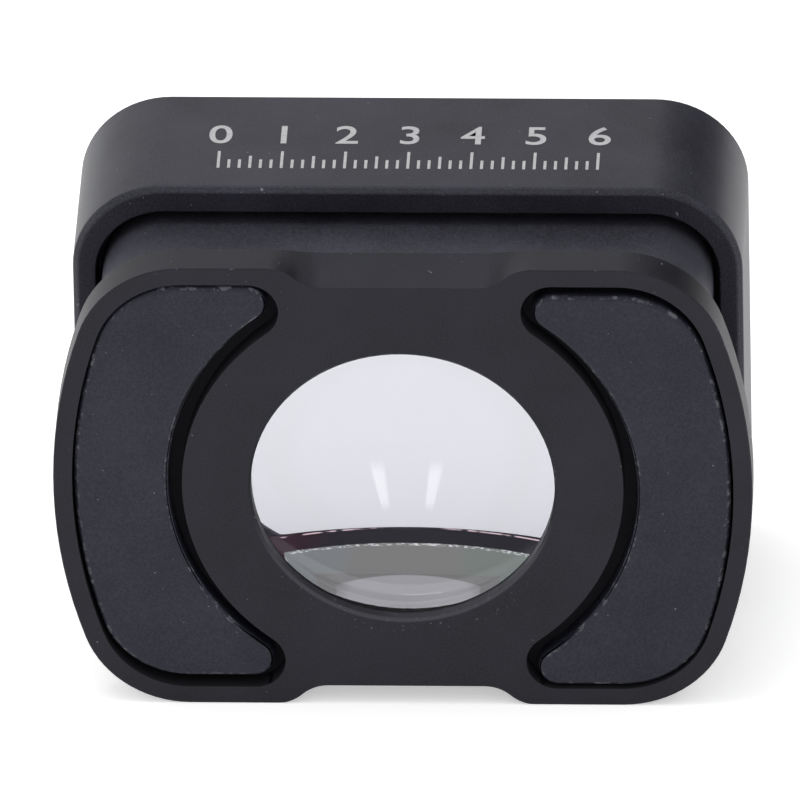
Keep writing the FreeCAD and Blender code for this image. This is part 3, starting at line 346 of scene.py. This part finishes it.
def rim_paint_tones(material):
    """The painted rim glows as painted light: near black, brownish far left, ending at the dome in a
    thin, broken, rosy line, a painted highlight.

    The line is where the distance from the dome sphere's centre, with 0.06 |x| added, is between
    21.92 and 22.04, and |x| is over 2.4.
    """
    tree = material.node_tree
    at = place_on_piece(tree)
    dome_reach = add_node(
        tree, "ShaderNodeVectorMath", {"operation": "DISTANCE"},
        i0=at.point, i1=(0, (DOME_VERTEX - DOME_RADIUS) * MM, 0),
    )
    aside = add_node(tree, "ShaderNodeMath", {"operation": "ABSOLUTE"}, i0=at.across)
    rise = add_node(tree, "ShaderNodeMath", {"operation": "MULTIPLY"}, i0=aside, i1=0.06)
    inset = add_node(tree, "ShaderNodeMath", {"operation": "ADD"}, i0=dome_reach, i1=rise)
    gaps = add_node(tree, "ShaderNodeTexNoise", Vector=at.point, Scale=1 / (GAP_SIZE * MM), Detail=3.0)
    line = soft_region(
        tree, (inset, 21.86 * MM, 21.92 * MM), (inset, 22.1 * MM, 22.04 * MM), (gaps, 0.42, 0.52),
        (aside, 1.6 * MM, 2.4 * MM),
    )
    far_left = soft_region(tree, (at.across, -4.5 * MM, -6.5 * MM))
    # Painted light: the rim glows dark, and the rosy line is a painted highlight.
    glow(material, coated(tree, linear("#2d2c31"), (far_left, "#37272f"), (line, "#e6cdd2")), 1.5)


# Blasted and hard-anodised aluminium: an even satin near-black with specks of wear on its edges.
plate_finish = grained_black("blasted_black_anodised_plate", "#07070a", "#1a1a22", 0.46, wear_and_sheen=0.4)
# Painted highlight on the aperture's lower wall, with flecks of bare metal round it.
rub_aperture(plate_finish)
# Painted light: the neck is the same blasted anodise with a duller and paler grey-black base, a lit
# copy that stands in for the light on its top between plate and hood. Its edges are not rubbed.
neck_painted_light_finish = grained_black("blasted_black_anodised_neck_painted_light", "#2b2b32", "#42424b", 0.46)
# The hood has a trace of wax from handling, which only shows as a bright edge where its side is
# seen edge on.
hood_finish = grained_black(
    "blasted_black_anodised_hood", "#1f1f25", "#36363f", 0.42, wear_and_sheen=0.3, gloss=0.2,
    Coat_Weight=0.07, Coat_Roughness=0.22,
)
# The bezel is blasted alike and dyed deeper, so that it stays dark round the glass.
bezel_finish = grained_black("blasted_black_anodised_bezel", "#0d0e12", "#16171d", 0.42, wear_and_sheen=0.1)
# The magnets' epoxy coat is a bluish grey-black, pale along its round edges, partly rubbed through
# and partly a painted highlight where they catch the light.
magnet_finish = grained_black(
    "grey_epoxy_magnet_coat", "#12131b", "#272832", 0.42, bare="#5f5f66", wear_and_sheen=0.88,
)
# Painted shade: the milled pockets get their own flat dark grey with no gloss, a tone for the
# dim shade deep in them.
pocket_painted_shade = mottled("milled_pocket_painted_shade", "#232326", "#2a2a2e", 0.6, Specular_IOR_Level=0.0)
# Adhesive sheet and thin rubber are dull blacks, and the rings round the glass swallow stray light.
adhesive_finish = mottled("black_adhesive_sheet", "#0b0b0c", "#111112", 0.9)
rubber_finish = mottled("thin_black_rubber", "#090909", "#0e0e0e", 0.85)
ring_finish = mottled("matt_black_anodised_ring", "#0a0a0b", "#101012", 0.6)
# Steel: dark with a soft shine where it is blackened, and bright where it is ground.
screw_finish = mottled("blackened_steel_screw", "#1c1c1e", "#29292b", 0.35, Metallic=1.0)
pin_finish = mottled("ground_steel_pin", "#a8a8aa", "#b8b8ba", 0.3, Metallic=1.0)
# Painted light: the baffle's satin grey glows through the glass as a mid grey, with a paler
# crescent that is a painted reflection.
baffle_finish = mottled("satin_grey_baffle", "#2a2b2b", "#333434", 0.35)
light_baffle_arch(baffle_finish)
# The glass is clear and nearly colourless. Only the dome's coat leaves a violet reflection.
rear_glass_finish = optical_glass("coated_rear_glass")
# Painted reflection of two strip lamps, as faint glowing streaks on the rear glass.
wipe_marks(rear_glass_finish)
front_glass_finish = optical_glass("coated_front_glass")
dome_finish = optical_glass("coated_front_dome", (0.35, 0.22, 0.5))
# These two faces meet the glass without any air between, so they have no gloss of their own: a
# dark painted rim, and a flat ground level, pale and frosted. Both glow: painted light that stands
# in for the light the glass brings to them.
paint_finish = mottled("black_edge_paint", "#020202", "#050505", 1.0, Specular_IOR_Level=0.0)
rim_paint_tones(paint_finish)
ground_finish = mottled(
    "ground_glass_flat", "#020202", "#050505", 1.0, patch_size=2.5, Specular_IOR_Level=0.0,
)
ground_flat_tones(ground_finish)
# Silver paint of the marks: light grey and slightly cloudy.
silver_paint = mottled("silver_filled_marks", "#9a9a9d", "#c4c4c6", 0.5, patch_size=0.3)

NODE_FINISH = {
    "rear_plate": plate_finish,
    "magnet_left": magnet_finish,
    "magnet_right": magnet_finish,
    "magnet_tape_left": adhesive_finish,
    "magnet_tape_right": adhesive_finish,
    "plate_screws": screw_finish,
    "locating_pins": pin_finish,
    "rear_gasket": rubber_finish,
    "rear_retainer": ring_finish,
    "neck_frame": neck_painted_light_finish,
    "light_baffle": baffle_finish,
    "hood_shell": hood_finish,
    "hood_screws": screw_finish,
    "edge_clips": ring_finish,
    "cell_gasket": rubber_finish,
    "front_cell": ring_finish,
    "bezel_tape": adhesive_finish,
    "front_bezel": bezel_finish,
    "rear_element": rear_glass_finish,
    "front_flint": front_glass_finish,
    "front_crown": front_glass_finish,
}
for node, finish in NODE_FINISH.items():
    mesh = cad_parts[node].data
    mesh.materials.clear()
    mesh.materials.append(finish)


# Machined pieces.

def link_piece(name, mesh, *nodes):
    """A new object for the mesh, which stands for the nodes and rides with them."""
    piece = bpy.data.objects.new(name, mesh)
    bpy.context.scene.collection.objects.link(piece)
    if nodes:
        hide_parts(*nodes)
    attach(piece, "root")
    return piece


def in_pocket(point):
    """True for a face centre of the rear plate that lies inside a magnet pocket.

    A pocket lies outside the circle of its inner wall and keeps its margin from the plate's
    outline, which is a side arc, a level edge and a round corner. The finger notch is left out.
    """
    x, y, z = abs(point.x), point.y, abs(point.z)
    outside_inner_wall = math.hypot(x, z) > POCKET_INNER_RADIUS
    inside_side = math.hypot(x - SIDE_ARC_CENTRE_X, z) < SIDE_ARC_RADIUS - POCKET_MARGIN
    inside_edge = z < PLATE_HALF_HEIGHT - POCKET_MARGIN
    past_corner = (
        x > CORNER_CENTRE_X and z > CORNER_CENTRE_Z
        and math.hypot(x - CORNER_CENTRE_X, z - CORNER_CENTRE_Z) > CORNER_RADIUS - POCKET_MARGIN
    )
    in_notch = x < NOTCH_HALF_WIDTH and z > NOTCH_BOTTOM
    below_back = BACK_SKIN < y < POCKET_FLOOR
    inside_outline = inside_side and inside_edge and not past_corner
    return below_back and outside_inner_wall and inside_outline and not in_notch


def machined_copy(node, name, edge):
    """A node's own shape, its triangles joined into whole faces and its sharp edges broken by edge."""
    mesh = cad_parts[node].data.copy()
    mesh.name = name
    work = bmesh.new()
    work.from_mesh(mesh)
    bmesh.ops.remove_doubles(work, verts=work.verts, dist=MERGE_DISTANCE)
    bmesh.ops.dissolve_limit(work, angle_limit=ONE_FACE_ANGLE, verts=work.verts, edges=work.edges)
    work.to_mesh(mesh)
    work.free()
    for attribute in [item.name for item in mesh.attributes if "normal" in item.name]:
        mesh.attributes.remove(mesh.attributes[attribute])
    mesh.shade_smooth()
    piece = link_piece(name, mesh, node)
    bevel = piece.modifiers.new("broken_edges", "BEVEL")
    bevel.width = edge * MM
    bevel.segments = 3
    bevel.limit_method = "ANGLE"
    bevel.angle_limit = SHARP_EDGE_ANGLE
    bevel.harden_normals = True
    bevel.miter_outer = "MITER_ARC"
    return piece


for node, name, edge, slot in (
    ("rear_plate", "plate_body", 0.04, "plate_anodised"),
    ("magnet_left", "left_magnet_body", 0.18, "magnet_coat"),
    ("magnet_right", "right_magnet_body", 0.18, "magnet_coat"),
    ("neck_frame", "neck_body", 0.05, "neck_anodised"),
    ("hood_shell", "hood_body", 0.08, "hood_anodised"),
    ("front_bezel", "bezel_body", 0.06, "bezel_black"),
    ("front_cell", "cell_body", 0.05, "cell_black"),
    ("light_baffle", "baffle_body", 0.05, "baffle_black"),
    ("rear_retainer", "retainer_body", 0.05, "ring_black"),
):
    piece = machined_copy(node, name, edge)
    if node == "rear_plate":
        # The pocket faces take the painted-shade finish.
        piece.data.materials.append(pocket_painted_shade)
        for face in piece.data.polygons:
            face.material_index = int(in_pocket(face.center / MM))


# Glass.

def flatted_rim(radius, flat, per_side):
    """Angles and distances of a round rim with its top and bottom ground level.

    The angle t runs from straight up, and the distance from the axis is the smaller of the
    radius and flat / |cos t|. Both ends of each flat are among the angles.
    """
    corner = math.acos(flat / radius)
    marks = [-corner, corner, math.pi - corner, math.pi + corner, 2 * math.pi - corner]
    sides = [np.linspace(a, b, per_side, endpoint=False) for a, b in zip(marks, marks[1:])]
    angle = np.concatenate(sides)
    reach = np.minimum(radius, flat / np.maximum(np.abs(np.cos(angle)), 1e-9))
    return angle, reach


def sphere_depth(vertex, curve):
    """Depth of a spherical surface at (x, z): vertex less the sagitta; a positive curve bulges forward."""
    def depth(x, z):
        return vertex - np.sign(curve) * (abs(curve) - np.sqrt(curve * curve - x * x - z * z))
    return depth


def level_depth(place):
    """A flat surface across the axis."""
    return lambda x, z: np.full_like(x, place)


def glass_body(name, nodes, rim, rings, finishes, wall_finish=None):
    """Closed glass body through rings of points.

    Ring k has the points (s b sin t, d(x, z), s b cos t): s is its share of the rim distance
    b(t), and d its surface. The first and last rings close on the axis. wall_finish gives a
    face's material from its ring and the height of its rim point.
    """
    angle, reach = rim
    count = len(angle)
    layers = []
    for share, depth in rings:
        x, z = share * reach * np.sin(angle), share * reach * np.cos(angle)
        layers.append(np.stack([x, depth(x, z), z], axis=-1))
    centre = np.zeros(1)
    start = np.array([[0, rings[0][1](centre, centre)[0], 0]])
    end = np.array([[0, rings[-1][1](centre, centre)[0], 0]])
    points = np.concatenate([start, *layers, end]) * MM
    ring, step = np.meshgrid(np.arange(len(rings) - 1), np.arange(count), indexing="ij")
    first = 1 + ring * count + step
    second = 1 + ring * count + (step + 1) % count
    quads = np.stack([first, second, second + count, first + count], axis=-1).reshape(-1, 4)
    around = np.arange(count)
    following = (around + 1) % count
    low = np.stack([np.zeros(count, int), 1 + following, 1 + around], axis=-1)
    last = 1 + (len(rings) - 1) * count
    high = np.stack([np.full(count, len(points) - 1), last + around, last + following], axis=-1)
    mesh = bpy.data.meshes.new(name)
    mesh.from_pydata(points.tolist(), [], quads.tolist() + low.tolist() + high.tolist())
    for finish in finishes:
        mesh.materials.append(finish)
    slots = np.zeros(len(mesh.polygons), int)
    if wall_finish is not None:
        height = np.abs(reach * np.cos(angle))
        middle = (height + np.roll(height, -1)) / 2
        slots[:ring.size] = wall_finish(ring, middle[step]).ravel()
        # The faces that close the last ring carry on its finish.
        slots[ring.size + count:] = slots[ring.size - 1]
    mesh.polygons.foreach_set("material_index", slots.astype(np.int32))
    mesh.update()
    mesh.shade_smooth()
    mesh.set_sharp_from_angle(angle=GLASS_EDGE_ANGLE)
    return link_piece(name, mesh, *nodes)


# Rear element: flat towards the camera, hollow towards the front, with a level shoulder between.
SHARES = np.linspace(0, 1, RING_COUNT + 1)[1:]
hollow = sphere_depth(HOLLOW_VERTEX, -HOLLOW_RADIUS)
shoulder_place = float(hollow(np.array([HOLLOW_REACH]), np.zeros(1))[0])
rear_rings = [(share, level_depth(REAR_GLASS_BACK)) for share in SHARES]
rear_rings += [(1.0, level_depth(shoulder_place))]
rear_rings += [(share * HOLLOW_REACH / REAR_GLASS_RADIUS, hollow) for share in SHARES[::-1]]
# A flat this close to the radius leaves the rim round.
round_rim = flatted_rim(REAR_GLASS_RADIUS, REAR_GLASS_RADIUS * 0.99999, REAR_RIM_STEPS)
rear_glass = glass_body("rear_glass", ["rear_element"], round_rim, rear_rings, [rear_glass_finish])

# Front doublet: a thick crown whose flats are bare ground glass, cemented to a flint whose rim
# is painted black.
GLASS, PAINT, GROUND, DOME = range(4)
CROWN_WALL, FLINT_WALL = len(SHARES) - 1, len(SHARES)
doublet_rings = [(share, level_depth(CROWN_BACK)) for share in SHARES]
doublet_rings += [(1.0, sphere_depth(BOND_VERTEX, BOND_RADIUS))]
doublet_rings += [(share, sphere_depth(DOME_VERTEX, DOME_RADIUS)) for share in SHARES[::-1]]


def doublet_wall(ring, height):
    """Glass on the polished back and dome, ground glass on the crown's flats, and paint on the rest."""
    crown = np.where(height > DOUBLET_FLAT - 0.01, GROUND, PAINT)
    polished = np.where(ring > FLINT_WALL, DOME, GLASS)
    return np.where(ring == CROWN_WALL, crown, np.where(ring == FLINT_WALL, PAINT, polished))


front_doublet = glass_body(
    "front_doublet", ["front_crown", "front_flint"],
    flatted_rim(DOUBLET_RADIUS, DOUBLET_FLAT, DOUBLET_RIM_STEPS),
    doublet_rings, [front_glass_finish, paint_finish, ground_finish, dome_finish], doublet_wall,
)


# Marks on the hood's top: a plain scale in silver paint, which stands hardly proud of the metal.

def scale_marks(name, strokes, low, high):
    """Closed flat bars: each stroke is (x, y, width, length), and all run from low to high in z."""
    stroke = np.array(strokes, float)
    corner = np.array([[-1, -1], [1, -1], [1, 1], [-1, 1]]) / 2
    flat = stroke[:, None, :2] + corner[None] * stroke[:, None, 2:]
    floor_points = np.concatenate([flat, np.full(flat.shape[:2] + (1,), low)], axis=-1)
    lid_points = np.concatenate([flat, np.full(flat.shape[:2] + (1,), high)], axis=-1)
    points = np.concatenate([floor_points, lid_points], axis=1).reshape(-1, 3) * MM
    box_faces = np.array([[3, 2, 1, 0], [4, 5, 6, 7], [0, 1, 5, 4], [1, 2, 6, 5], [2, 3, 7, 6], [3, 0, 4, 7]])
    faces = (box_faces[None] + 8 * np.arange(len(stroke))[:, None, None]).reshape(-1, 4)
    mesh = bpy.data.meshes.new(name)
    mesh.from_pydata(points.tolist(), [], faces.tolist())
    mesh.update()
    return mesh


HOOD_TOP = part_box("hood_shell")[1].z / MM
PAINT_LOW, PAINT_HIGH = HOOD_TOP - 0.02, HOOD_TOP + 0.01
SCALE_PITCH, SCALE_STEPS, SCALE_START = 0.5, 36, 10.5
NUMBERED_EVERY, LONGER_EVERY = 6, 3
NUMBERED_STROKE, LONGER_STROKE, SHORT_STROKE, STROKE_WIDTH = 1.6, 1.15, 0.8, 0.14
NUMERAL_SIZE, NUMERAL_START, NUMERAL_HALF_DEPTH, NUMERAL_SWELL = 2.4, 12.9, 0.015, 0.02


def across_scale(step):
    """x of a step of the scale, which is centred on the hood."""
    return (step - SCALE_STEPS / 2) * SCALE_PITCH


scale_strokes = []
for step in range(SCALE_STEPS + 1):
    if step % NUMBERED_EVERY == 0:
        length = NUMBERED_STROKE
    else:
        length = LONGER_STROKE if step % LONGER_EVERY == 0 else SHORT_STROKE
    scale_strokes.append((across_scale(step), SCALE_START + length / 2, STROKE_WIDTH, length))
ticks = scale_marks("scale_ticks", scale_strokes, PAINT_LOW, PAINT_HIGH)
ticks.materials.append(silver_paint)
link_piece("scale_ticks", ticks)

for number in range(SCALE_STEPS // NUMBERED_EVERY + 1):
    text = bpy.data.curves.new("numeral", "FONT")
    text.body = str(number)
    text.size = NUMERAL_SIZE * MM
    text.extrude = NUMERAL_HALF_DEPTH * MM
    text.offset = NUMERAL_SWELL * MM
    text.align_x = "CENTER"
    holder = bpy.data.objects.new("numeral", text)
    bpy.context.scene.collection.objects.link(holder)
    bpy.context.view_layer.update()
    shape = bpy.data.meshes.new_from_object(holder)
    bpy.data.objects.remove(holder)
    shape.name = "numeral_%d" % number
    middle = Vector((across_scale(number * NUMBERED_EVERY), NUMERAL_START, (PAINT_LOW + PAINT_HIGH) / 2))
    shape.transform(Matrix.Translation(middle * MM))
    shape.materials.clear()
    shape.materials.append(silver_paint)
    link_piece("scale_numeral_%d" % number, shape)

# Camera: a long lens from behind, above and a little to the right. PORT_OFFSET is where the middle
# of the aperture stands in the frame, in pixels to the right of the frame's centre and below it.
AZIMUTH = math.radians(2.9)
ELEVATION = math.radians(29.8)
ROLL = math.radians(1.12)
DISTANCE = 1500 * MM
PIXELS_PER_MM = 21.15
FRAME_PIXELS = 800
PORT_OFFSET = (2.6, 87.8)
SENSOR = 36.0

forward = Vector((
    -math.sin(AZIMUTH) * math.cos(ELEVATION),
    math.cos(AZIMUTH) * math.cos(ELEVATION),
    -math.sin(ELEVATION),
))
level_right = Vector((math.cos(AZIMUTH), math.sin(AZIMUTH), 0))
level_up = level_right.cross(forward)
right = level_right * math.cos(ROLL) - level_up * math.sin(ROLL)
up = level_up * math.cos(ROLL) + level_right * math.sin(ROLL)
aim = (up * PORT_OFFSET[1] - right * PORT_OFFSET[0]) / PIXELS_PER_MM * MM
camera_data = bpy.data.cameras.new("camera")
camera_data.sensor_width = SENSOR
camera_data.lens = PIXELS_PER_MM * DISTANCE / MM * SENSOR / FRAME_PIXELS
camera_data.clip_end = 10.0
camera = bpy.data.objects.new("camera", camera_data)
bpy.context.scene.collection.objects.link(camera)
placing = Matrix((right, up, -forward)).transposed().to_4x4()
placing.translation = aim - forward * DISTANCE
camera.matrix_world = placing
bpy.context.scene.camera = camera


# Light and floor.

AMBIENT = 0.9
FLOOR_GLOW, FLOOR_REACH = 0.43, 0.6
LAMP_AIM = (0, 8, 0)
CARD_CENTRE, CARD_ACROSS, CARD_UP = (200, 330, 122), (171, -104, 0), (0, 0, 130)


def seen_rays(tree):
    """1 for rays from the camera, through glass or off gloss, and 0 for the light on surfaces."""
    rays = add_node(tree, "ShaderNodeLightPath").outputs
    clear = add_node(
        tree, "ShaderNodeMath", {"operation": "MAXIMUM"},
        i0=rays["Is Camera Ray"], i1=rays["Is Transmission Ray"],
    )
    return add_node(tree, "ShaderNodeMath", {"operation": "MAXIMUM"}, i0=clear, i1=rays["Is Glossy Ray"])


def soft_lamp(name, place, size, watts):
    """A rectangular soft lamp that faces the middle of the object."""
    data = bpy.data.lights.new(name, "AREA")
    data.shape = "RECTANGLE"
    data.size, data.size_y = size[0] * MM, size[1] * MM
    data.energy = watts
    lamp = bpy.data.objects.new(name, data)
    bpy.context.scene.collection.objects.link(lamp)
    stand = Vector(place) * MM
    direction = Vector(LAMP_AIM) * MM - stand
    lamp.matrix_world = Matrix.Translation(stand) @ direction.to_track_quat("-Z", "Y").to_matrix().to_4x4()


def stage_sheet(name, centre, across, up, finish):
    """A flat sheet, in metres: its corners are its centre plus or less across, plus or less up."""
    mesh = bpy.data.meshes.new(name)
    corners = [centre + across * a + up * b for a, b in ((-1, -1), (1, -1), (1, 1), (-1, 1))]
    mesh.from_pydata(corners, [], [(0, 1, 2, 3)])
    mesh.materials.append(finish)
    sheet = bpy.data.objects.new(name, mesh)
    bpy.context.scene.collection.objects.link(sheet)
    return sheet


# White surroundings for the camera, gloss and glass, plain grey light for surfaces.
world = bpy.data.worlds.new("studio")
world.use_nodes = True
bpy.context.scene.world = world
tree = world.node_tree
tree.nodes.clear()
ambient = add_node(tree, "ShaderNodeBackground", Color=WHITE, Strength=AMBIENT)
white = add_node(tree, "ShaderNodeBackground", Color=WHITE, Strength=1.0)
mixed = add_node(tree, "ShaderNodeMixShader", Fac=seen_rays(tree), i1=ambient, i2=white)
add_node(tree, "ShaderNodeOutputWorld", Surface=mixed)

soft_lamp("top_lamp", (-60, 0, 310), (140, 140), 0.2)
soft_lamp("left_lamp", (-300, 0, 20), (120, 200), 0.14)
soft_lamp("right_lamp", (300, 60, -5), (100, 60), 0.12)

# A black card ahead to the right, out of the camera's sight, which keeps the hood's right corner
# dark. Its felt is dull and takes nearly all light.
felt_finish = mottled("black_card_felt", "#060606", "#0a0a0a", 1.0, patch_size=5.0)
card = stage_sheet(
    "black_card", Vector(CARD_CENTRE) * MM, Vector(CARD_ACROSS) * MM, Vector(CARD_UP) * MM, felt_finish,
)
card.visible_camera = False

# Floor: matt and pale, close to white for the camera, darker only under the object.
floor_finish, tree, shader = new_material("pale_floor", "#f4f4f4", 0.9)
bright = add_node(tree, "ShaderNodeEmission", Color=WHITE, Strength=FLOOR_GLOW)
blank = add_node(tree, "ShaderNodeEmission", Color=BLACK, Strength=0.0)
chosen = add_node(tree, "ShaderNodeMixShader", Fac=seen_rays(tree), i1=blank, i2=bright)
lit = add_node(tree, "ShaderNodeAddShader", i0=shader, i1=chosen)
fill_sockets(tree, tree.nodes["Material Output"], Surface=lit)
floor = stage_sheet(
    "floor", Vector((0, 0, cad_box[0][2])), Vector((FLOOR_REACH, 0, 0)), Vector((0, FLOOR_REACH, 0)),
    floor_finish,
)

bpy.context.scene.view_settings.view_transform = "Standard"
